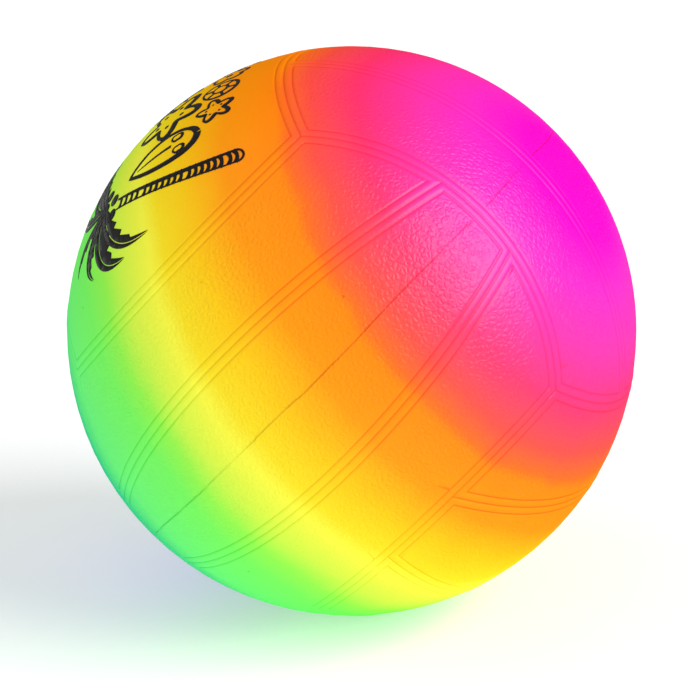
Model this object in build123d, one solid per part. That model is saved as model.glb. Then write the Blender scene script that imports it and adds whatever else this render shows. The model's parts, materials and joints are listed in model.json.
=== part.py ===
"""Moulded soft-PVC play ball, inflated, with a plugged needle valve.

The ball is hollow and made in one piece. Its skin carries the seam pattern of an eighteen-panel
ball: six square faces of three strips, each panel outlined by a groove, and a third groove down
the middle of every seam. The face opposite the valve has one large panel, left smooth for a
print. Millimetres and degrees. The origin is the ball's centre.
"""

from build123d import *
import os
from math import acos, cos, degrees, radians, sin, sqrt

# The ball
BALL_RADIUS = 110.0
WALL = 1.0

# The moulded seams
STRIP_HALF_ANGLE = 15.0  # from a face's middle to the seam beside its middle strip
SEAM_HALF_WIDTH = 3.2  # from a seam's middle groove to the panel outline on each side
GROOVE_WIDTH = 0.8
GROOVE_DEPTH = 0.3
GROOVE_END_GAP = 1.0  # a groove's middle line stops this short of the corner it runs to

# Depths below the ball's surface, along the valve
CORE_TOP = 1.6
LOCK_TOP = 9.0  # the ring that locks the core in its seat
LOCK_END = 11.0
LEAD_IN_END = 7.0  # where the wide lead-in narrows to the needle channel
NEEDLE_END = 15.5
BARREL_END = 17.0
CORE_END = 18.5

# Radii about the valve's axis
NECK_RADIUS = 6.0  # fills the opening in the skin
FLANGE_RADIUS = 13.0
BARREL_RADIUS = 7.0
CORE_RADIUS = 4.6
LOCK_RADIUS = 5.6
LIP_RADIUS = 3.0  # the core tapers to this at its self-sealing end
LEAD_IN_RADIUS = 1.65
NEEDLE_RADIUS = 1.05
HEAD_RADIUS = 4.2
SHANK_RADIUS = 1.6
NAIL_NOTCH_RADIUS = 1.4

# Other sizes of the valve
FLANGE_THICKNESS = 1.5
HEAD_THICKNESS = 1.4
HEAD_EDGE = 0.3
SHANK_LENGTH = 4.8
SHANK_TIP = 0.4
SEATING_GAP = 0.05  # under the stopper's head
NOTCH_DEPTH = 0.8

# The seam pattern's three square axes. A face looks each way along each of them.
FRONT = Vector(0, -1, 0)
UPPER = Vector(1, 0, 1).normalized()
PRINT = Vector(-1, 0, 1).normalized()
VALVE = PRINT * -1

FACE_ANGLE = degrees(acos(1 / sqrt(3)))  # from a face's middle to the circles that bound it
SEAM_HALF_ANGLE = degrees(SEAM_HALF_WIDTH / BALL_RADIUS)
VALVE_PLANE = Plane(origin=(0, 0, 0), x_dir=UPPER, z_dir=VALVE)
CENTRED_BELOW = (Align.CENTER, Align.CENTER, Align.MAX)


def circle(axis, angle):
    """The circle of points on the ball that lie at one angle from an axis."""
    return axis.normalized(), BALL_RADIUS * cos(radians(angle))


def meeting(first, second, side):
    """Where two circles on the ball meet: of the two points, the one towards the given side."""
    (axis_1, height_1), (axis_2, height_2) = first, second
    lean = axis_1.dot(axis_2)
    foot = axis_1 * (height_1 - lean * height_2) + axis_2 * (height_2 - lean * height_1)
    foot = foot * (1 / (1 - lean**2))
    reach = axis_1.cross(axis_2).normalized() * sqrt(BALL_RADIUS**2 - foot.length**2)
    return foot + reach if reach.dot(side) > 0 else foot - reach


def groove(line, start, end):
    """The cutter for a round-bottomed groove along a circle on the ball, between two points."""
    axis, height = line
    centre = axis * height
    turn = (start - centre).get_signed_angle(end - centre, axis)
    if turn < 0:
        return groove(line, end, start)
    radius = (start - centre).length
    end_gap = degrees(GROOVE_END_GAP / radius)
    first_spoke = (start - centre).rotate(Axis((0, 0, 0), axis), end_gap)
    tube = (GROOVE_DEPTH**2 + (GROOVE_WIDTH / 2) ** 2) / (2 * GROOVE_DEPTH)
    lift = (BALL_RADIUS + tube - GROOVE_DEPTH) / BALL_RADIUS
    plane = Plane(origin=centre * lift, x_dir=first_spoke, z_dir=axis)
    return Solid.make_torus(radius * lift, tube, plane, major_angle=turn - 2 * end_gap)


def panel_outline(ends, sides, strip_axis):
    """The four grooves round a panel, from the circle at its ends and those along its sides."""
    near = [meeting(ends, side, strip_axis) for side in sides]
    far = [meeting(ends, side, strip_axis * -1) for side in sides]
    end_grooves = [groove(ends, *near), groove(ends, *far)]
    side_grooves = [groove(side, *points) for side, *points in zip(sides, near, far)]
    return end_grooves + side_grooves


def face_grooves(normal, strip_axis, across, plain):
    """Every groove of one face: the middles of the seams it owns, and its panels' outlines."""
    tilt = radians(STRIP_HALF_ANGLE)
    seam_axes = [across * (way * cos(tilt)) - normal * sin(tilt) for way in (-1, 1)]
    edge_axes = [across * -1, across]
    end_seam = circle(normal, FACE_ANGLE)
    ends = circle(normal, FACE_ANGLE - SEAM_HALF_ANGLE)
    edges = [circle(axis, FACE_ANGLE + SEAM_HALF_ANGLE) for axis in edge_axes]

    grooves = []
    for way in (-1, 1):
        side = strip_axis * way
        cube_corners = [meeting(end_seam, circle(axis, FACE_ANGLE), side) for axis in edge_axes]
        grooves.append(groove(end_seam, *cube_corners))
    if plain:
        return grooves + panel_outline(ends, edges, strip_axis)

    for axis, edge in zip(seam_axes, edges):
        seam = circle(axis, 90)
        seam_ends = [meeting(end_seam, seam, strip_axis * way) for way in (-1, 1)]
        grooves.append(groove(seam, *seam_ends))
        side_strip = [circle(axis, 90 - SEAM_HALF_ANGLE), edge]
        grooves += panel_outline(ends, side_strip, strip_axis)
    middle_strip = [circle(axis, 90 + SEAM_HALF_ANGLE) for axis in seam_axes]
    return grooves + panel_outline(ends, middle_strip, strip_axis)


def seam_grooves():
    """The grooves of all six faces. Each face's strips run towards the next axis's face."""
    axes = [FRONT, UPPER, PRINT]
    grooves = []
    for index, normal in enumerate(axes):
        strip_axis = axes[(index + 1) % 3]
        across = axes[(index + 2) % 3]
        for way in (1, -1):
            plain = normal is PRINT and way == 1
            grooves += face_grooves(normal * way, strip_axis, across, plain)
    return grooves


def disc(radius, top, end):
    """A solid disc about the valve's axis, between two depths below the ball's surface."""
    return Pos(0, 0, BALL_RADIUS - top) * Cylinder(radius, end - top, align=CENTRED_BELOW)


def make_skin():
    """The one-piece shell, with its moulded seams and the opening for the valve."""
    opening = disc(NECK_RADIUS, -WALL, FLANGE_RADIUS)
    shell = VALVE_PLANE * (Sphere(BALL_RADIUS) - Sphere(BALL_RADIUS - WALL) - opening)
    return shell - seam_grooves()


def make_seat():
    """The flanged boss bonded inside the skin, with a neck that fills the skin's opening."""
    inside = BALL_RADIUS - WALL
    cap = Sphere(inside) - Sphere(inside - FLANGE_THICKNESS)
    flange = cap & disc(FLANGE_RADIUS, 0, FLANGE_RADIUS)
    neck = Sphere(BALL_RADIUS) & disc(NECK_RADIUS, -WALL, LOCK_TOP)
    barrel = Sphere(inside) & disc(BARREL_RADIUS, 0, BARREL_END)
    bore = disc(CORE_RADIUS, -WALL, BARREL_END)
    lock = disc(LOCK_RADIUS, LOCK_TOP, LOCK_END)
    return VALVE_PLANE * (flange + neck + barrel - bore - lock)


def make_core():
    """The rubber core: a lead-in, then a needle channel that stops short of its closed end."""
    taper_length = CORE_END - BARREL_END
    taper = Cone(LIP_RADIUS, CORE_RADIUS, taper_length, align=CENTRED_BELOW)
    body = disc(CORE_RADIUS, CORE_TOP, BARREL_END) + disc(LOCK_RADIUS, LOCK_TOP, LOCK_END)
    body += Pos(0, 0, BALL_RADIUS - BARREL_END) * taper
    lead_in = disc(LEAD_IN_RADIUS, CORE_TOP, LEAD_IN_END)
    channel = disc(NEEDLE_RADIUS, LEAD_IN_END, NEEDLE_END)
    return VALVE_PLANE * (body - lead_in - channel)


def make_stopper():
    """The hard plastic plug: a flush head with a nail notch, and a shank in the lead-in."""
    head_end = CORE_TOP - SEATING_GAP
    head_top = head_end - HEAD_THICKNESS
    head = disc(HEAD_RADIUS, head_top, head_end)
    head = fillet(head.edges().group_by(Axis.Z)[-1], HEAD_EDGE)
    shank = disc(SHANK_RADIUS, head_end, head_end + SHANK_LENGTH)
    shank = chamfer(shank.edges().group_by(Axis.Z)[0], SHANK_TIP)
    notch = Pos(HEAD_RADIUS, 0, 0) * disc(NAIL_NOTCH_RADIUS, head_top, head_top + NOTCH_DEPTH)
    return VALVE_PLANE * (head + shank - notch)


os.makedirs("parts", exist_ok=True)
export_step(make_skin(), "parts/skin.step")
export_step(make_seat(), "parts/valve_seat.step")
export_step(make_core(), "parts/valve_core.step")
export_step(make_stopper(), "parts/valve_stopper.step")
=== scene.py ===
import json
from collections import namedtuple
from math import acos, cos, pi, radians, sin, sqrt

import bmesh
import bpy
import numpy as np
from bpy.props import FloatProperty, FloatVectorProperty, IntProperty, PointerProperty
from mathutils import Color, Matrix, Vector
from mathutils.geometry import interpolate_bezier


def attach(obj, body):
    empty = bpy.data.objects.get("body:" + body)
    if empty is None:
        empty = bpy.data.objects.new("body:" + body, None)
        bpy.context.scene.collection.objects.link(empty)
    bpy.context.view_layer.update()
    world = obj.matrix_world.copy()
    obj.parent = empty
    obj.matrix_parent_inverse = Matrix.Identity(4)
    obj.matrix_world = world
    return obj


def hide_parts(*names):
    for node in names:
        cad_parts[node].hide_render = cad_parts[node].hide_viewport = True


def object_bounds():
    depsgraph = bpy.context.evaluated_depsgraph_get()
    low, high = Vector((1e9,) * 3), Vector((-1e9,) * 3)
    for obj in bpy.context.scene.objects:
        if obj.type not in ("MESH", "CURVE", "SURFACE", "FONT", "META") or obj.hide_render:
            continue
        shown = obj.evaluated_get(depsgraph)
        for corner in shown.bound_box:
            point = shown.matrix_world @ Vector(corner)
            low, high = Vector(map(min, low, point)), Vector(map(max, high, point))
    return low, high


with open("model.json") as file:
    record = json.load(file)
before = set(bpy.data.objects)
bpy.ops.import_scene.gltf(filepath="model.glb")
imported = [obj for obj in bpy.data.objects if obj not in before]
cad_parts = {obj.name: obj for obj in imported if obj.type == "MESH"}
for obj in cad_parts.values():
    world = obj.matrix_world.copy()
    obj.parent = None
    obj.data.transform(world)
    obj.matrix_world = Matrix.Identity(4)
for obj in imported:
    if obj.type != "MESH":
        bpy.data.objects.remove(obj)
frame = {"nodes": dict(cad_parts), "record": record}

bl_info = {
    "name": "Moulded Play Ball",
    "version": (1, 0, 0),
    "blender": (4, 5, 0),
    "location": "3D View > Sidebar > Play Ball",
    "description": "Builds the skin, print, valve finishes and studio of a rainbow play ball",
    "category": "Object",
}

MM = 0.001
CAD_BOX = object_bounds()
BALL_RADIUS = (CAD_BOX[1].x - CAD_BOX[0].x) / 2
NEEDLE = next(m for m in frame["record"]["mounts"] if m["name"] == "needle")

# The seam pattern's three square axes. The print looks one way along the last, the valve the other.
VALVE = Vector(NEEDLE["axis"]).normalized()
PRINT = -VALVE
FRONT = Vector((0, -1, 0))
UPPER = PRINT.cross(FRONT)

FACE_ANGLE = acos(1 / sqrt(3))  # from a face's middle to the circles that bound it

NECK_RADIUS = 6 * MM  # the valve seat's neck, which fills the hole in the skin

# Where the mesh is cut beside a seam, as shares of its half width: the middle groove, the bead
# and the panel's outline.
GROOVE_EDGE = 0.13
OUTER_EDGE = 1 + GROOVE_EDGE
SEAM_CUTS = (0, GROOVE_EDGE, 0.26, 0.5, 0.74, 1 - GROOVE_EDGE, 1, OUTER_EDGE, 1.3)

# The moulded collar round the valve, and the rounded rim of its hole.
COLLAR_CREST = 1.1 * MM  # from the hole's edge
COLLAR_SPREAD = 0.75 * MM
RIM_WIDTH = 0.35 * MM
RIM_DROP = 0.2 * MM
COLLAR_CUTS = (0, 0.2, 0.5, 1.1, 1.7, 2.4, 3.2)  # in millimetres from the hole's edge

# The grain sets in over a short way beside each seam and round the valve's collar.
GRAIN_FADE = 1.5 * MM
COLLAR_MARGIN = 2 * MM
COLLAR_FADE = 3 * MM
SEAM_GRAIN = 0.12  # shares of the full grain
SMOOTH_FACE_GRAIN = 0.2

CUT_MARGIN = 3 * MM  # how far past a seam's outermost cut its faces are still cut
CUT_SNAP = 0.02 * MM  # a cut this near a vertex goes through it
INK_SNAP = 1e-7  # the same for the ink, in metres
SAME_PLACE = 1e-6  # in millimetres, in the flat drawing

# How dark the marks in the skin and the painted shade in the seams' grooves are, as shares of its
# deepest shade, and how deep the two marks are cut, as shares of the grain's relief.
LINE_SHADE = 0.65
SPECK_SHADE = 0.5
# Painted shade: the seams' grooves are darkened towards the bottom of each groove.
CREASE_SHADE = 0.75
LINE_CUT = 1.6
SPECK_CUT = 1.2

FLOOR_REACH = 12.0  # from the middle of the floor to its edges

# The spray finish: its pole, and how far from the pole each colour lies, in degrees.
SPRAY_POLE = (0.798, -0.117, 0.590)
SPRAY_ANGLES = {
    "magenta": 12,
    "orchid": 24,
    "pink": 34,
    "rose": 46,
    "coral": 55,
    "orange": 60.3,
    "marigold": 62.3,
    "amber": 72,
    "yellow": 81,
    "lemon": 88,
    "citron": 92,
    "lime": 100,
    "leaf": 106,
    "green": 112,
    "mint": 127,
    "teal": 141,
    "blue": 172,
}


# ---------------------------------------------------------------------------------------------
# Sizes and colours a user would change


def length(label, about, default):
    """A length in metres, for a property group."""
    return FloatProperty(name=label, description=about, default=default, unit="LENGTH", precision=5)


def angle(label, about, default):
    """An angle given here in degrees, for a property group."""
    return FloatProperty(name=label, description=about, default=radians(default), subtype="ANGLE")


def share(label, about, default):
    """A number from 0 to 1, for a property group."""
    return FloatProperty(name=label, description=about, default=default, min=0, max=1)


def paint(label, about, default):
    """A display colour, for a property group."""
    return FloatVectorProperty(
        name=label, description=about, default=default, subtype="COLOR_GAMMA", min=0, max=1
    )


class BallSkinSettings(bpy.types.PropertyGroup):
    """The moulded relief of the skin."""

    wall: length("Wall", "Thickness of the skin", 1.0 * MM)
    strip_angle: angle("Strip angle", "From a face's middle to its inner seams", 15)
    seam_half_width: length("Seam half width", "From a seam's middle to its outline", 3.2 * MM)
    groove_width: length("Groove width", "Width of each groove where it meets the skin", 0.8 * MM)
    groove_depth: length("Groove depth", "Depth of each groove", 0.3 * MM)
    bead_height: length("Bead height", "How far the beads stand proud", 0.16 * MM)
    collar_height: length("Collar height", "Moulded ring round the valve", 0.25 * MM)
    fineness: IntProperty(name="Fineness", description="Subdivisions of the sphere", default=5)


class BallFinishSettings(bpy.types.PropertyGroup):
    """The spray finish of the skin, and its grain."""

    magenta: paint("Magenta", "Round the spray's pole", (0.975, 0.0, 0.73))
    orchid: paint("Orchid", "Beside the magenta", (0.975, 0.11, 0.71))
    pink: paint("Pink", "The middle of the pinks", (0.975, 0.15, 0.62))
    rose: paint("Rose", "The red side of the pinks", (0.97, 0.16, 0.39))
    coral: paint("Coral", "Where pink lies over orange", (0.97, 0.28, 0.23))
    orange: paint("Orange", "The edge of the pink", (0.975, 0.41, 0.09))
    marigold: paint("Marigold", "Beyond the edge of the pink", (0.98, 0.51, 0.0))
    amber: paint("Amber", "Between orange and yellow", (0.975, 0.58, 0.0))
    yellow: paint("Yellow", "The warm side of the yellow", (0.98, 0.78, 0.03))
    lemon: paint("Lemon", "The middle of the yellow", (0.98, 0.88, 0.11))
    citron: paint("Citron", "The cold side of the yellow", (0.98, 0.975, 0.26))
    lime: paint("Lime", "Between yellow and green", (0.82, 0.975, 0.29))
    leaf: paint("Leaf", "The yellow side of the green", (0.58, 0.975, 0.31))
    green: paint("Green", "The green band", (0.47, 0.975, 0.38))
    mint: paint("Mint", "The blue side of the green", (0.42, 0.96, 0.49))
    teal: paint("Teal", "Beyond the green", (0.10, 0.80, 0.56))
    blue: paint("Blue", "Round the pole opposite the magenta", (0.05, 0.40, 0.86))
    grain_size: length("Grain size", "Size of the grain's wrinkles", 2.1 * MM)
    grain_depth: length("Grain depth", "Relief of the grain", 0.17 * MM)
    roughness: share("Roughness", "Roughness of the skin", 0.38)
    gloss: share("Gloss", "Share of the light that the pinks' surface turns back", 0.037)


class BallPrintSettings(bpy.types.PropertyGroup):
    """The black print on the smooth face."""

    ink: paint("Ink", "Colour of the print", (0.05, 0.04, 0.045))
    film: length("Film", "Thickness of the ink", 0.05 * MM)
    cell: length("Cell", "Largest flat piece of the ink", 2.5 * MM)


class BallValveSettings(bpy.types.PropertyGroup):
    """Colours of the valve's pieces."""

    seat: paint("Seat", "Soft PVC of the seat", (0.84, 0.83, 0.78))
    core: paint("Core", "Rubber of the core", (0.1, 0.1, 0.105))
    stopper: paint("Stopper", "Hard plastic of the stopper", (0.88, 0.88, 0.85))


class StudioSettings(bpy.types.PropertyGroup):
    """Camera, lights and floor."""

    azimuth: angle("Azimuth", "Camera direction round the ball, from the front", 14.27)
    elevation: angle("Elevation", "Camera direction above the level", 16.13)
    roll: angle("Roll", "Camera roll, clockwise in the view", 1.9)
    distance: length("Distance", "From the ball's middle to the camera", 0.861)
    lens: FloatProperty(name="Lens", description="Focal length", default=113.7, unit="CAMERA")
    shift_x: FloatProperty(name="Shift X", description="Share of the view", default=-0.0024)
    shift_y: FloatProperty(name="Shift Y", description="Share of the view", default=-0.0269)
    floor: paint("Floor", "Colour of the floor", (0.9, 0.9, 0.9))
    fill: FloatProperty(name="Fill", description="Soft light from the left", default=1.0)
    sheen: FloatProperty(name="Sheen", description="Soft light that the skin reflects", default=2.7)
    sky: FloatProperty(name="Sky", description="Brightness of the surroundings", default=0.33)
    glow: FloatProperty(name="Glow", description="Light from under the floor", default=0.36)


# ---------------------------------------------------------------------------------------------
# Shader nodes


class Signal:
    """One socket of a material. Arithmetic on it adds the Math nodes."""

    def __init__(self, tree, socket=None):
        self.tree = tree
        self.socket = socket

    def node(self, kind, settings=None, inputs=None, output=0):
        """Adds a node: its settings first, then the values or links of its inputs."""
        made = self.tree.nodes.new(kind)
        for name, value in (settings or {}).items():
            if name == "stops":
                self.set_stops(made.color_ramp, value)
            else:
                setattr(made, name, value)
        for name, value in (inputs or {}).items():
            if isinstance(value, Signal):
                self.tree.links.new(value.socket, made.inputs[name])
            else:
                made.inputs[name].default_value = value
        return Signal(self.tree, made.outputs[output] if made.outputs else None)

    @staticmethod
    def set_stops(ramp, stops):
        """Gives a colour ramp its stops: pairs of a position and a colour."""
        while len(ramp.elements) < len(stops):
            ramp.elements.new(1.0)
        for element, (position, colour) in zip(ramp.elements, stops):
            element.position = position
            element.color = colour

    def maths(self, operation, *values):
        """A Math node on this value and up to two more."""
        return self.node("ShaderNodeMath", {"operation": operation}, dict(enumerate((self, *values))))

    def __add__(self, other):
        return self.maths("ADD", other)

    __radd__ = __add__

    def __sub__(self, other):
        return self.maths("SUBTRACT", other)

    def __rsub__(self, other):
        return (self * -1) + other

    def __mul__(self, other):
        return self.maths("MULTIPLY", other)

    __rmul__ = __mul__

    def __truediv__(self, other):
        return self.maths("DIVIDE", other)

    def __abs__(self):
        return self.maths("ABSOLUTE")

    def dot(self, direction):
        """The dot product of this vector with a fixed direction."""
        settings = {"operation": "DOT_PRODUCT"}
        return self.node("ShaderNodeVectorMath", settings, {0: self, 1: direction}, "Value")

    def moved(self, other):
        """This vector plus another."""
        return self.node("ShaderNodeVectorMath", {"operation": "ADD"}, {0: self, 1: other})

    def scaled(self, factor):
        """This vector times a number."""
        settings = {"operation": "SCALE"}
        return self.node("ShaderNodeVectorMath", settings, {0: self, "Scale": factor})

    def fade(self, start, end, low=0.0, high=1.0):
        """Eases from low to high as this value goes from start to end."""
        settings = {"interpolation_type": "SMOOTHSTEP"}
        limits = {"Value": self, "From Min": start, "From Max": end, "To Min": low, "To Max": high}
        return self.node("ShaderNodeMapRange", settings, limits)

    def mixed(self, other, factor):
        """This colour, going to another as the factor goes to 1."""
        return factor.between(self, other)

    def between(self, colour, other):
        """The colour that goes from one to another as this value goes from 0 to 1."""
        return self.node("ShaderNodeMix", {"data_type": "RGBA"}, {0: self, 6: colour, 7: other}, 2)

    def noise(self, size, detail=2.0, output="Fac"):
        """Noise at this place, with features about the given size."""
        inputs = {"Vector": self, "Scale": 1 / size, "Detail": detail}
        return self.node("ShaderNodeTexNoise", None, inputs, output)

    def cells(self, size, feature="F1", output="Distance"):
        """Voronoi cells at this place, of about the given size."""
        inputs = {"Vector": self, "Scale": 1 / size}
        return self.node("ShaderNodeTexVoronoi", {"feature": feature}, inputs, output)

    def bumps(self, distance):
        """A normal from this height, which runs from 0 to 1 over the given distance."""
        inputs = {"Height": self, "Distance": distance, "Strength": 1.0}
        return self.node("ShaderNodeBump", None, inputs)


def linear(srgb):
    """A display colour as a scene-linear one with alpha."""
    return (*Color(srgb).from_srgb_to_scene_linear(), 1.0)


def new_material(name):
    """An empty node material, as (material, a Signal to build on, a Signal of Object coordinates)."""
    material = bpy.data.materials.new(name)
    material.use_nodes = True
    material.node_tree.nodes.clear()
    signal = Signal(material.node_tree)
    return material, signal, signal.node("ShaderNodeTexCoord", output="Object")


def surface(signal, inputs):
    """Ends a material in one Principled shader with the given inputs."""
    shader = signal.node("ShaderNodeBsdfPrincipled", None, inputs)
    signal.node("ShaderNodeOutputMaterial", None, {"Surface": shader})


def vertex_number(signal, name):
    """A number that each vertex of the skin carries."""
    return signal.node("ShaderNodeAttribute", {"attribute_name": name}, output="Fac")


def skin_material(finish):
    """Sprayed soft PVC: a rainbow about the spray's pole, grain on the panels, a parting line, painted
    shade in the seams' grooves.
    """
    material, signal, place = new_material("sprayed_pvc")
    outward = place.node("ShaderNodeVectorMath", {"operation": "NORMALIZE"}, {0: place})
    panel = vertex_number(signal, "panel")
    crease = vertex_number(signal, "crease")
    grain_mask = vertex_number(signal, "grain")

    from_pole = angle_from_pole(place, outward)
    sprayed = spray_colour(from_pole, finish)
    line = parting_line(place, outward) * panel
    specks = place.cells(17 * MM).fade(0.022, 0.034, 1, 0) * panel
    marks = (line * LINE_SHADE).maths("MAXIMUM", specks * SPECK_SHADE)
    # The crease share darkens the bottom of each groove: painted shade, laid in with the real marks.
    dark = marks.maths("MAXIMUM", crease * CREASE_SHADE)

    wrinkles = grain_wrinkles(place, finish.grain_size)
    grain = (wrinkles * 0.75 + place.noise(0.55 * MM, 2) * 0.45) * grain_mask
    relief = (grain - line * LINE_CUT - specks * SPECK_CUT).bumps(finish.grain_depth)
    patches = place.noise(20 * MM, 2) * 0.06
    pigment = signal.node(
        "ShaderNodeBsdfPrincipled",
        None,
        {
            "Base Color": sprayed.mixed(marks_and_painted_shade_colour(sprayed), dark),
            "Roughness": patches + wrinkles * grain_mask * 0.05 + (finish.roughness - 0.05),
            "Normal": relief,
            "Specular IOR Level": 0.0,
        },
    )
    gloss = signal.node("ShaderNodeBsdfGlossy", None, {"Roughness": finish.roughness, "Normal": relief})
    layers = {0: gloss_share(from_pole, finish.gloss), 1: pigment, 2: gloss}
    both = signal.node("ShaderNodeMixShader", None, layers)
    signal.node("ShaderNodeOutputMaterial", None, {"Surface": both})
    return material


def angle_from_pole(place, outward):
    """The angle from the spray's pole, which wanders and speckles as sprayed edges do."""
    wander = (place.noise(45 * MM, 3) - 0.5) * radians(6)
    speckle = (place.noise(0.7 * MM, 1) - 0.5) * radians(2.2)
    return outward.dot(SPRAY_POLE).maths("ARCCOSINE") + wander + speckle


def spray_colour(from_pole, finish):
    """The rainbow, by the angle from the spray's pole."""
    stops = [
        (radians(at) / pi, linear(getattr(finish, colour))) for colour, at in SPRAY_ANGLES.items()
    ]
    return from_pole.node("ShaderNodeValToRGB", {"stops": stops}, {"Fac": from_pole / pi})


def gloss_share(from_pole, strongest):
    """How much of the light the surface turns back: most on the pinks, under half that elsewhere."""
    elsewhere = 0.45
    past_magenta = from_pole.fade(radians(12), radians(26))
    before_orange = from_pole.fade(radians(52), radians(64), 1, 0)
    return (past_magenta * before_orange * (1 - elsewhere) + elsewhere) * strongest


def grain_wrinkles(place, size):
    """The leathery grain's cells: 0 in the wrinkles between them and 1 on top."""
    warp = place.noise(3.5 * MM, 2, "Color").scaled(1.2 * MM)
    return place.moved(warp).cells(size, "DISTANCE_TO_EDGE").fade(0.0, 0.32)


def marks_and_painted_shade_colour(colour):
    """The same colour, deeper: the painted shade at the bottom of a fine crease, and the colour of the
    dark marks.
    """
    deeper = colour.node("ShaderNodeGamma", None, {"Color": colour, "Gamma": 1.55})
    return colour.node("ShaderNodeHueSaturation", None, {"Color": deeper, "Value": 0.86})


def parting_line(place, outward):
    """A thin line where the mould's halves met, which wanders and jogs along its great circle."""
    jogs = place.cells(26 * MM, output="Color").dot((1, 0, 0)) - 0.5
    drift = place.noise(30 * MM, 1) - 0.5
    off = outward.dot(PRINT) * BALL_RADIUS + jogs * (0.7 * MM) + drift * (1.6 * MM)
    strength = place.noise(14 * MM, 1).fade(0.3, 0.62, 0.35, 1)
    return abs(off).fade(0.12 * MM, 0.34 * MM, 1, 0) * strength


def ink_material(settings):
    """Black print, matt, with slight changes of shade."""
    material, signal, place = new_material("print_ink")
    mottle = place.noise(6 * MM, 3)
    lighter = Color(settings.ink) * 1.5
    dark = linear(settings.ink)
    colour = mottle.between(dark, linear(lighter))
    surface(
        signal,
        {
            "Base Color": colour,
            "Roughness": place.noise(3 * MM, 2) * 0.15 + 0.42,
            "Normal": place.noise(0.9 * MM, 2).bumps(0.03 * MM),
            "Specular IOR Level": 0.15,
        },
    )
    return material


def moulded_material(name, srgb, roughness, grain, depth):
    """Plain moulded plastic or rubber, with a fine grain of one size and depth."""
    material, signal, place = new_material(name)
    base = linear(srgb)
    worn = linear(Color(srgb) * 0.86)
    patches = place.noise(4 * MM, 3).fade(0.35, 0.7)
    colour = (patches * 0.5).between(base, worn)
    surface(
        signal,
        {
            "Base Color": colour,
            "Roughness": place.noise(1.5 * MM, 2) * 0.12 + (roughness - 0.06),
            "Normal": place.noise(grain, 3).bumps(depth),
        },
    )
    return material


# ---------------------------------------------------------------------------------------------
# Meshes


def finished(bm, name, body, material):
    """Makes an object of a bmesh, smooth, with its material, riding on a CAD body."""
    mesh = bpy.data.meshes.new(name)
    bm.to_mesh(mesh)
    bm.free()
    mesh.materials.append(material)
    mesh.shade_smooth()
    piece = bpy.data.objects.new(name, mesh)
    bpy.context.scene.collection.objects.link(piece)
    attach(piece, body)
    return piece


Seam = namedtuple("Seam", "axis angle middle half_turn")


def all_seams(strip_angle):
    """Every seam, as the arc at one angle from an axis, with the arc's middle and half its turn."""
    axes = [FRONT, UPPER, PRINT]
    cube_corner_turn = pi / 4
    strip_end_turn = acos(1 / (sqrt(3) * cos(strip_angle)))
    seams = []
    for index in range(3):
        strips = axes[(index + 1) % 3]
        across = axes[(index + 2) % 3]
        for normal in (axes[index], -axes[index]):
            for way in (1, -1):
                seams.append(Seam(normal, FACE_ANGLE, strips * way, cube_corner_turn))
                if normal == PRINT:
                    continue
                tilted = across * (way * cos(strip_angle)) - normal * sin(strip_angle)
                middle = normal * cos(strip_angle) + across * (way * sin(strip_angle))
                seams.append(Seam(tilted, pi / 2, middle, strip_end_turn))
    return seams


def seam_distance(outward, seam):
    """How far each direction is from a seam, in metres over the ball, ends included."""
    axis = np.array(seam.axis)
    middle = np.array(seam.middle)
    side = np.cross(axis, middle)
    rise = outward @ axis
    turn = np.abs(np.arctan2(outward @ side, outward @ middle))
    beside = np.abs(np.arccos(np.clip(rise, -1, 1)) - seam.angle)
    ends = [
        axis * cos(seam.angle) + (middle * cos(t) + side * sin(t)) * sin(seam.angle)
        for t in (seam.half_turn, -seam.half_turn)
    ]
    past = np.min([np.arccos(np.clip(outward @ end, -1, 1)) for end in ends], axis=0)
    return np.where(turn <= seam.half_turn, beside, past) * BALL_RADIUS


def outward_directions(elements, centre_of):
    """The unit directions of a bmesh's vertices or faces, as an array."""
    places = np.array([centre_of(e) for e in elements])
    return places / np.linalg.norm(places, axis=1)[:, None]


def with_edges_and_verts(faces):
    """Faces with all their edges and vertices, as the bisect operator takes them."""
    edges = {edge for face in faces for edge in face.edges}
    verts = {vert for face in faces for vert in face.verts}
    return [*faces, *edges, *verts]


def cut_beside(bm, seam, settings):
    """Cuts the faces round one seam along circles parallel to it, where its relief changes."""
    faces = list(bm.faces)
    reach = settings.seam_half_width * SEAM_CUTS[-1] + CUT_MARGIN
    near = seam_distance(outward_directions(faces, lambda f: f.calc_center_median()), seam) < reach
    region = with_edges_and_verts([face for face, is_near in zip(faces, near) if is_near])
    offsets = {way * cut for cut in SEAM_CUTS for way in (1, -1)}
    for offset in sorted(offsets):
        turn = seam.angle + offset * settings.seam_half_width / BALL_RADIUS
        where = seam.axis * (BALL_RADIUS * cos(turn))
        cut = bmesh.ops.bisect_plane(bm, geom=region, dist=CUT_SNAP, plane_co=where, plane_no=seam.axis)
        region = cut["geom"]


def crease_share(distance, settings):
    """1 at the bottom of each groove, falling to 0 at its edges, by distance from the nearest seam."""
    middles = (0, settings.seam_half_width)
    dips = [1 - np.abs(distance - middle) / (settings.groove_width / 2) for middle in middles]
    return np.clip(np.max(dips, axis=0), 0, 1)


def relief(distance, settings):
    """The height of the skin over the ball's radius, at each distance from the nearest seam."""
    bead_width = 1 - 2 * GROOVE_EDGE
    across_bead = np.clip((distance / settings.seam_half_width - GROOVE_EDGE) / bead_width, 0, 1)
    bead = np.sin(across_bead * pi) ** 0.6 * settings.bead_height
    return bead - crease_share(distance, settings) * settings.groove_depth


def valve_ring(distance, hole, height):
    """The height of the moulded collar, at each distance from the valve's axis."""
    from_crest = distance - hole - COLLAR_CREST
    collar = np.exp(-((from_crest / COLLAR_SPREAD) ** 2)) * height
    rounding = np.clip(1 - (distance - hole) / RIM_WIDTH, 0, 1) ** 2 * RIM_DROP
    return collar - rounding


def faces_near_valve(bm, reach):
    """The faces whose middles lie within an angle of the valve's axis."""
    return [f for f in bm.faces if f.calc_center_median().normalized().angle(VALVE) < reach]


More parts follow.
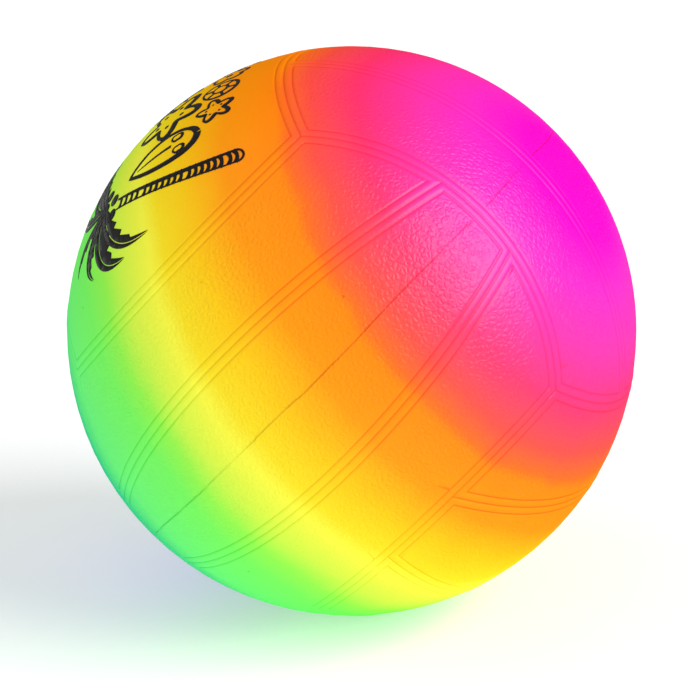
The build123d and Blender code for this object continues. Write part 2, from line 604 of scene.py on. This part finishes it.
def open_valve_hole(bm, radius, hole, rings, cuts):
    """Opens a round hole about the valve's axis, with rings of edges round it."""
    edge = hole / radius
    fine_reach = 2.2 * edge
    ring_reach = 3 * edge
    edges = list({e for f in faces_near_valve(bm, fine_reach) for e in f.edges})
    bmesh.ops.subdivide_edges(bm, edges=edges, cuts=cuts, use_grid_fill=True)
    for ring in rings:
        region = with_edges_and_verts(faces_near_valve(bm, ring_reach))
        where = VALVE * (radius * cos(ring / radius))
        bmesh.ops.bisect_plane(bm, geom=region, dist=CUT_SNAP / 2, plane_co=where, plane_no=VALVE)
    bmesh.ops.delete(bm, geom=faces_near_valve(bm, edge), context="FACES")


class BALL_OT_skin(bpy.types.Operator):
    """Builds the one-piece skin with its seams and grain"""

    bl_idname = "play_ball.skin"
    bl_label = "Skin"

    def execute(self, context):
        settings = context.scene.ball_skin
        seams = all_seams(settings.strip_angle)
        hole = NECK_RADIUS

        bm = bmesh.new()
        bmesh.ops.create_icosphere(bm, subdivisions=settings.fineness, radius=BALL_RADIUS)
        rings = [hole + step * MM for step in COLLAR_CUTS]
        open_valve_hole(bm, BALL_RADIUS, hole, rings, 3)
        for seam in seams:
            cut_beside(bm, seam, settings)
        bmesh.ops.triangulate(bm, faces=[f for f in bm.faces if len(f.verts) > 4])

        verts = list(bm.verts)
        outward = outward_directions(verts, lambda v: v.co)
        distance = np.min([seam_distance(outward, seam) for seam in seams], axis=0)
        from_valve = np.arccos(np.clip(outward @ np.array(VALVE), -1, 1)) * BALL_RADIUS
        from_print = np.arccos(np.clip(outward @ np.array(PRINT), -1, 1)) * BALL_RADIUS
        height = relief(distance, settings) + valve_ring(from_valve, hole, settings.collar_height)
        for vert, direction, lift in zip(verts, outward, height):
            vert.co = Vector(direction) * (BALL_RADIUS + lift)

        on_panel = np.clip((distance - settings.seam_half_width * OUTER_EDGE) / GRAIN_FADE, 0, 1)
        on_panel *= np.clip((from_valve - hole - COLLAR_MARGIN) / COLLAR_FADE, 0, 1)
        smoothed = (1 - SMOOTH_FACE_GRAIN) * print_face_mask(outward)
        grain = on_panel * (1 - smoothed) + SEAM_GRAIN * (1 - on_panel)
        self.add_inner_wall(bm, settings.wall, hole)

        sprayed = skin_material(context.scene.ball_finish)
        piece = finished(bm, "skin_moulded", "ball", sprayed)
        add_attribute(piece, "panel", on_panel)
        # The crease share cuts the grooves, and in the material it paints shade into them.
        add_attribute(piece, "crease", crease_share(distance, settings))
        add_attribute(piece, "grain", grain)
        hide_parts("skin")
        return {"FINISHED"}

    def add_inner_wall(self, bm, wall, hole):
        """Adds the skin's inner surface and joins it to the outer one round the valve's hole."""
        outer_rim = [e for e in bm.edges if e.is_boundary]
        inner = bmesh.new()
        inner_radius = BALL_RADIUS - wall
        bmesh.ops.create_icosphere(inner, subdivisions=4, radius=inner_radius)
        open_valve_hole(inner, inner_radius, hole, [hole], 5)
        for vert in inner.verts:
            vert.co = vert.co.normalized() * inner_radius
        bmesh.ops.reverse_faces(inner, faces=inner.faces)
        mesh = bpy.data.meshes.new("inner_wall")
        inner.to_mesh(mesh)
        inner.free()
        bm.from_mesh(mesh)
        bpy.data.meshes.remove(mesh)
        inner_rim = [e for e in bm.edges if e.is_boundary and e not in set(outer_rim)]
        bmesh.ops.bridge_loops(bm, edges=outer_rim + inner_rim)


def add_attribute(piece, name, values):
    """A number for each vertex, for the material. Vertices past the given ones get 0."""
    every = np.zeros(len(piece.data.vertices), np.float32)
    every[: len(values)] = values
    attribute = piece.data.attributes.new(name, "FLOAT", "POINT")
    attribute.data.foreach_set("value", every)


def print_face_mask(outward):
    """1 inside the smooth face that carries the print, 0 outside it."""
    ahead = outward @ np.array(PRINT)
    on_ends = ahead > cos(FACE_ANGLE)
    past_sides = np.abs(outward @ np.array(UPPER)) < 1 / sqrt(3)
    return (on_ends & past_sides).astype(float)


# ---------------------------------------------------------------------------------------------
# The print. It is drawn flat, in millimetres, with x to the right and y up as the print reads,
# and then wrapped onto the ball about the smooth face's middle.


def spot(x, y):
    """A place in the flat drawing."""
    return Vector((x, y, 0))


def curve(start, start_handle, end_handle, end, steps):
    """A smooth path between two places."""
    return interpolate_bezier(start, start_handle, end_handle, end, steps + 1)


def arc(centre, radius, start, turn, steps):
    """A path along an arc, from a start angle through a turn."""
    turns = [start + turn * step / steps for step in range(steps + 1)]
    return [centre + spot(cos(t), sin(t)) * radius for t in turns]


def steady(amount):
    """The same offset or width at every place along a path."""
    return lambda along: amount


def sideways(path):
    """The unit direction to the left of a path at each of its points."""
    closed = (path[0] - path[-1]).length < SAME_PLACE
    last = len(path) - 1
    found = []
    for index in range(len(path)):
        before = path[last - 1] if closed and index == 0 else path[max(index - 1, 0)]
        after = path[1] if closed and index == last else path[min(index + 1, last)]
        run = (after - before).normalized()
        found.append(spot(-run.y, run.x))
    return found


def ink_band(bm, path, right, left):
    """Inks the strip between two offsets from a path, each a function of 0 to 1 along it."""
    steps = len(path) - 1
    to_left = sideways(path)
    grid = bmesh.ops.create_grid(bm, x_segments=steps, y_segments=1, size=1)
    for vert in grid["verts"]:
        along = (vert.co.x + 1) / 2
        offset = left(along) if vert.co.y > 0 else right(along)
        index = round(along * steps)
        vert.co = path[index] + to_left[index] * offset


def ink_line(bm, path, width):
    """Inks a line of one width, or of a width that is a function of 0 to 1 along it."""
    size = width if callable(width) else steady(width)
    ink_band(bm, path, lambda along: -size(along) / 2, lambda along: size(along) / 2)


def ink_outline(bm, path, width, shadow):
    """Inks the outline of a closed shape, run anticlockwise, heavier towards the lower left."""
    to_left = sideways(path)
    last = len(path) - 1
    towards = spot(-0.6, -0.8)

    def outer(along):
        return -width / 2 - shadow * max(0, -to_left[round(along * last)].dot(towards)) ** 0.7

    ink_band(bm, path, outer, steady(width / 2))


def ink_disc(bm, centre, radius):
    """Inks a filled circle."""
    place = Matrix.Translation(centre)
    bmesh.ops.create_circle(bm, cap_ends=True, segments=28, radius=radius, matrix=place)


def draw_trunk(bm, trunk, foot, top):
    """A palm's trunk: a thin edge, a heavy one, a rounded foot and rings between them."""
    def half(along):
        return foot + (top - foot) * min(1, along * 1.6)

    ink_band(bm, trunk, lambda a: half(a) - 0.8, lambda a: half(a))
    ink_band(bm, trunk, lambda a: -half(a), lambda a: -half(a) + 1.0 + 1.1 * sin(pi * a))
    facing = spot(0, 1).angle(trunk[0] - trunk[1]) + pi / 2
    ink_line(bm, arc(trunk[0], foot - 0.5, facing - pi / 2, pi, 16), 1.0)
    to_left = sideways(trunk)
    rings = 19
    for ring in range(rings):
        along = (ring + 0.4) / rings
        index = round(along * (len(trunk) - 1))
        side = to_left[index] * (half(along) - 0.3)
        sag = (trunk[max(index, 1) - 1] - trunk[max(index, 1)]).normalized() * (1.7 - 0.8 * along)
        middle = trunk[index]
        handles = (middle - side * 0.4 + sag, middle + side * 0.4 + sag)
        path = curve(middle - side, *handles, middle + side, 8)
        ink_line(bm, path, lambda a: 1.5 + 0.6 * abs(2 * a - 1))


# Each leaf as two handles and a tip, measured from the crown, and the reach of its two blades.
PALM_FRONDS = (
    ((-13, 3), (-31, 2), (-33.7, -18.8), 2.5, 6.0),
    ((-10, 10), (-28, 16), (-33.5, -3), 3.4, 9.2),
    ((-4, 10), (-11, 25), (-22.7, 18), 2.2, 5.4),
    ((0, 10), (3, 24), (-6, 29), 1.6, 3.2),
    ((6, 10), (16, 25), (25, 15), 2.2, 4.6),
    ((10, 9), (26, 11), (32, -4), 3.0, 7.4),
    ((9, 2), (23, 3), (29, -8), 2.2, 4.8),
)


def draw_frond(bm, path, outer_blade, inner_blade):
    """One palm leaf: a smooth outer blade and a toothed inner one, either side of a bare rib."""
    below = 1 if path[-1].x < path[0].x else -1
    teeth = 5
    rib = 0.2

    def swell(along):
        return sin(pi * min(1, along * 0.96 + 0.04) ** 0.85)

    def outer(along):
        return -below * (rib + outer_blade * swell(along))

    def inner(along):
        tooth = along * teeth % 1
        return below * (rib + inner_blade * swell(along) * (0.55 + 0.45 * tooth))

    for edge, way in ((outer, -below), (inner, below)):
        beside_rib = steady(way * rib)
        ink_band(bm, path, *((beside_rib, edge) if way > 0 else (edge, beside_rib)))


def draw_palm(bm):
    """A palm tree that leans inwards at the left of the print."""
    trunk = curve(spot(-76.4, -48.3), spot(-76, -30), spot(-70, -12), spot(-57, 9), 60)
    crown = spot(-51, 16)
    draw_trunk(bm, trunk, 3.5, 2.7)
    for first, second, tip, outer_blade, inner_blade in PALM_FRONDS:
        path = curve(crown, crown + spot(*first), crown + spot(*second), crown + spot(*tip), 60)
        draw_frond(bm, path, outer_blade, inner_blade)
    for x, y in ((-1.6, -6), (-8, -3.2), (4.6, -3.5)):
        ink_disc(bm, crown + spot(x, y), 2.6)
    ink_disc(bm, crown, 2.6)


def round_path(centre, radius_at, steps=150):
    """A closed path about a centre, its radius a function of the turn from the right."""
    turns = [2 * pi * step / steps for step in range(steps + 1)]
    return [centre + spot(cos(t), sin(t)) * radius_at(t) for t in turns]


def draw_surfboard(bm):
    """An upright surfboard with a bold edge, a stringer and two fin plugs."""
    centre = spot(-52, -17)

    def place(across, along):
        return centre + spot(across + 0.07 * along, along)

    side = curve(place(0, -16.5), place(11, -15), place(10, 6), place(0, 17), 40)
    other = curve(place(0, 17), place(-10, 6), place(-11, -15), place(0, -16.5), 40)
    ink_outline(bm, side + other[1:], 1.8, 1.7)
    ink_line(bm, [place(0, -5 + 1.6 * step) for step in range(12)], lambda a: 1.7 * (1 - 0.7 * a))
    for across, along in ((-3.9, -8), (3.7, -8)):
        plug = round_path(place(across, along), lambda t: 1.5 + 0.8 * abs(sin(t)), 40)
        ink_outline(bm, plug, 0.9, 0.7)


def draw_starfish(bm, centre, size, lean):
    """A starfish with five blunt arms, a bold edge and a dot on each arm."""
    def radius_at(turn):
        return size * (0.75 + 0.25 * cos(5 * (turn - lean)))

    ink_outline(bm, round_path(centre, radius_at), 0.5 + 0.09 * size, 0.4 + 0.09 * size)
    for arm in range(5):
        turn = lean + 2 * pi * arm / 5
        ink_disc(bm, centre + spot(cos(turn), sin(turn)) * size * 0.45, size * 0.07)


def draw_swim_ring(bm, centre, size):
    """A swim ring: two bold circles with stripes between them."""
    ink_outline(bm, round_path(centre, lambda t: size), 1.0, 0.8)
    ink_outline(bm, round_path(centre, lambda t: size * 0.42, 60), 0.9, 0.6)
    for stripe in range(6):
        turn = pi * (stripe + 0.25) / 3
        ahead = spot(cos(turn), sin(turn)) * size
        ink_line(bm, [centre + ahead * (0.45 + 0.1 * step) for step in range(6)], 1.3)


def draw_blossom(bm, centre, size):
    """A five-petalled blossom with a bold edge."""
    petals = round_path(centre, lambda t: size * (0.66 + 0.34 * abs(cos(2.5 * t)) ** 0.7))
    ink_outline(bm, petals, 1.0, 0.8)
    ink_disc(bm, centre, size * 0.2)


def draw_beach_things(bm):
    """What lies left of the print's middle: a surfboard and a starfish, over a smaller row."""
    draw_surfboard(bm)
    draw_starfish(bm, spot(-27.5, -20), 14.5, radians(100))
    draw_starfish(bm, spot(-42.5, -41.5), 7.6, radians(80))
    draw_swim_ring(bm, spot(-25.5, -42.5), 7.2)
    draw_blossom(bm, spot(-8.6, -43), 7.6)


def draw_sun(bm):
    """A sun with short tapered rays."""
    centre = spot(0, -17)
    ink_outline(bm, arc(centre, 9, 0, 2 * pi, 80), 1.6, 1.4)
    for ray in range(12):
        turn = pi * ray / 6
        ahead = spot(cos(turn), sin(turn))
        path = [centre + ahead * (11.5 + 0.6 * step) for step in range(9)]
        ink_line(bm, path, lambda a: 2.2 * (1 - 0.75 * a))


def wrap_onto_ball(bm, height, cell):
    """Cuts a flat drawing into small faces and wraps it round the smooth face, millimetres to metres."""
    for vert in bm.verts:
        vert.co *= MM
    reach = max(max(abs(v.co.x), abs(v.co.y)) for v in bm.verts)
    lines = int(reach / cell) + 1
    for direction in (Vector((1, 0, 0)), Vector((0, 1, 0))):
        for line in range(-lines, lines + 1):
            geom = bm.verts[:] + bm.edges[:] + bm.faces[:]
            where = direction * (line * cell)
            bmesh.ops.bisect_plane(bm, geom=geom, dist=INK_SNAP, plane_co=where, plane_no=direction)
    right = -FRONT
    up = -UPPER
    for vert in bm.verts:
        flat = right * vert.co.x + up * vert.co.y
        turn = flat.length / BALL_RADIUS
        along = flat.normalized() if turn else right
        vert.co = (PRINT * cos(turn) + along * sin(turn)) * (BALL_RADIUS + height)


def print_piece(bm, name, scene):
    """Finishes a drawing as a film of ink on the ball."""
    settings = scene.ball_print
    wrap_onto_ball(bm, settings.film, settings.cell)
    piece = finished(bm, name, "ball", shared_ink(settings))
    film = piece.modifiers.new("film", "SOLIDIFY")
    film.thickness = settings.film
    film.offset = -1


def shared_ink(settings):
    """The one ink material, made the first time it is wanted."""
    return bpy.data.materials.get("print_ink") or ink_material(settings)


def mirrored(bm):
    """The same drawing, turned over left to right."""
    bmesh.ops.scale(bm, vec=(-1, 1, 1), verts=bm.verts)
    bmesh.ops.reverse_faces(bm, faces=bm.faces)
    return bm


def drawing(draw):
    """A flat drawing made by one function."""
    bm = bmesh.new()
    draw(bm)
    return bm


class BALL_OT_pairs(bpy.types.Operator):
    """Prints the palms and the beach things, the same on either side"""

    bl_idname = "play_ball.pairs"
    bl_label = "Palms and Beach Things"

    def execute(self, context):
        for name, draw in (("palm", draw_palm), ("beach_things", draw_beach_things)):
            print_piece(drawing(draw), f"print_{name}_front", context.scene)
            print_piece(mirrored(drawing(draw)), f"print_{name}_back", context.scene)
        return {"FINISHED"}


class BALL_OT_sun(bpy.types.Operator):
    """Prints the sun between the beach things"""

    bl_idname = "play_ball.sun"
    bl_label = "Sun"

    def execute(self, context):
        print_piece(drawing(draw_sun), "print_sun", context.scene)
        return {"FINISHED"}


class BALL_OT_valve(bpy.types.Operator):
    """Gives the valve's three pieces their finishes"""

    bl_idname = "play_ball.valve"
    bl_label = "Valve Finishes"

    def execute(self, context):
        settings = context.scene.ball_valve
        finishes = (
            ("valve_seat", "seat_soft_pvc", settings.seat, 0.42, 0.8 * MM, 0.02 * MM),
            ("valve_core", "core_black_rubber", settings.core, 0.6, 0.4 * MM, 0.02 * MM),
            ("valve_stopper", "stopper_plastic", settings.stopper, 0.35, 1.2 * MM, 0.01 * MM),
        )
        for node, *finish in finishes:
            materials = frame["nodes"][node].data.materials
            materials.clear()
            materials.append(moulded_material(*finish))
        return {"FINISHED"}


# ---------------------------------------------------------------------------------------------
# The stage


def view_axes(settings):
    """The camera's right, up and back directions."""
    level = cos(settings.elevation)
    back = Vector(
        (level * sin(settings.azimuth), -level * cos(settings.azimuth), sin(settings.elevation))
    )
    right = Vector((0, 0, 1)).cross(back).normalized()
    rolled = Matrix.Rotation(-settings.roll, 3, back) @ right
    return rolled, back.cross(rolled), back


def soft_light(name, towards, spread, strength):
    """A soft light from one direction, the same everywhere, as a large panel far off gives."""
    lamp = bpy.data.lights.new(name, "SUN")
    lamp.angle = radians(spread)
    lamp.energy = strength
    light = bpy.data.objects.new(name, lamp)
    light.matrix_world = towards.to_track_quat("Z", "Y").to_matrix().to_4x4()
    bpy.context.scene.collection.objects.link(light)


def floor_material(colour, glow):
    """A matt, faintly mottled table top, lit a little from below."""
    material, signal, place = new_material("lit_table")
    base = linear(colour)
    shade = linear(Color(colour) * 0.985)
    mottle = place.noise(120 * MM, 3)
    tint = mottle.between(base, shade)
    surface(
        signal,
        {
            "Base Color": tint,
            "Roughness": 0.9,
            "Specular IOR Level": 0.1,
            "Emission Color": (1, 1, 1, 1),
            "Emission Strength": glow,
        },
    )
    return material


class BALL_OT_studio(bpy.types.Operator):
    """Sets the floor, the lights and the camera"""

    bl_idname = "play_ball.studio"
    bl_label = "Studio"

    def execute(self, context):
        scene = context.scene
        settings = scene.ball_studio
        right, up, back = view_axes(settings)
        self.add_floor(settings)

        camera_data = bpy.data.cameras.new("view")
        camera_data.lens = settings.lens
        camera_data.shift_x = settings.shift_x
        camera_data.shift_y = settings.shift_y
        camera = bpy.data.objects.new("view", camera_data)
        turn = Matrix((right, up, back)).transposed().to_4x4()
        camera.matrix_world = Matrix.Translation(back * settings.distance) @ turn
        scene.collection.objects.link(camera)
        scene.camera = camera

        soft_light("fill", right * -0.7 + up * 0.35 + back * 0.6, 110, settings.fill)
        soft_light("sheen", right * 0.70 + up * 0.46 + back * 0.55, 42, settings.sheen)

        world = bpy.data.worlds.new("studio")
        world.use_nodes = True
        world.node_tree.nodes["Background"].inputs["Color"].default_value = (1, 1, 1, 1)
        world.node_tree.nodes["Background"].inputs["Strength"].default_value = settings.sky
        scene.world = world
        scene.view_settings.view_transform = "Standard"
        return {"FINISHED"}

    def add_floor(self, settings):
        """A wide level floor under the ball."""
        bm = bmesh.new()
        level = Matrix.Translation((0, 0, CAD_BOX[0].z))
        bmesh.ops.create_grid(bm, x_segments=1, y_segments=1, size=FLOOR_REACH, matrix=level)
        mesh = bpy.data.meshes.new("floor")
        bm.to_mesh(mesh)
        bm.free()
        mesh.materials.append(floor_material(settings.floor, settings.glow))
        floor = bpy.data.objects.new("floor", mesh)
        bpy.context.scene.collection.objects.link(floor)


class BALL_PT_panel(bpy.types.Panel):
    """Lists what the add-on builds, and its settings"""

    bl_idname = "BALL_PT_panel"
    bl_label = "Play Ball"
    bl_space_type = "VIEW_3D"
    bl_region_type = "UI"
    bl_category = "Play Ball"

    def draw(self, context):
        for operator in OPERATORS:
            self.layout.operator(operator.bl_idname)
        for name, group in SETTINGS.items():
            box = self.layout.box()
            box.label(text=group.__doc__)
            for item in group.__annotations__:
                box.prop(getattr(context.scene, name), item)


SETTINGS = {
    "ball_skin": BallSkinSettings,
    "ball_finish": BallFinishSettings,
    "ball_print": BallPrintSettings,
    "ball_valve": BallValveSettings,
    "ball_studio": StudioSettings,
}
OPERATORS = (BALL_OT_skin, BALL_OT_pairs, BALL_OT_sun, BALL_OT_valve, BALL_OT_studio)


def register():
    for group in SETTINGS.values():
        bpy.utils.register_class(group)
    for name, group in SETTINGS.items():
        setattr(bpy.types.Scene, name, PointerProperty(type=group))
    for operator in OPERATORS:
        bpy.utils.register_class(operator)
    bpy.utils.register_class(BALL_PT_panel)


def unregister():
    bpy.utils.unregister_class(BALL_PT_panel)
    for operator in reversed(OPERATORS):
        bpy.utils.unregister_class(operator)
    for name, group in SETTINGS.items():
        delattr(bpy.types.Scene, name)
        bpy.utils.unregister_class(group)


def main():
    """Builds everything in order."""
    register()
    bpy.ops.play_ball.skin()
    bpy.ops.play_ball.pairs()
    bpy.ops.play_ball.sun()
    bpy.ops.play_ball.valve()
    bpy.ops.play_ball.studio()


if __name__ == "__main__":
    main()
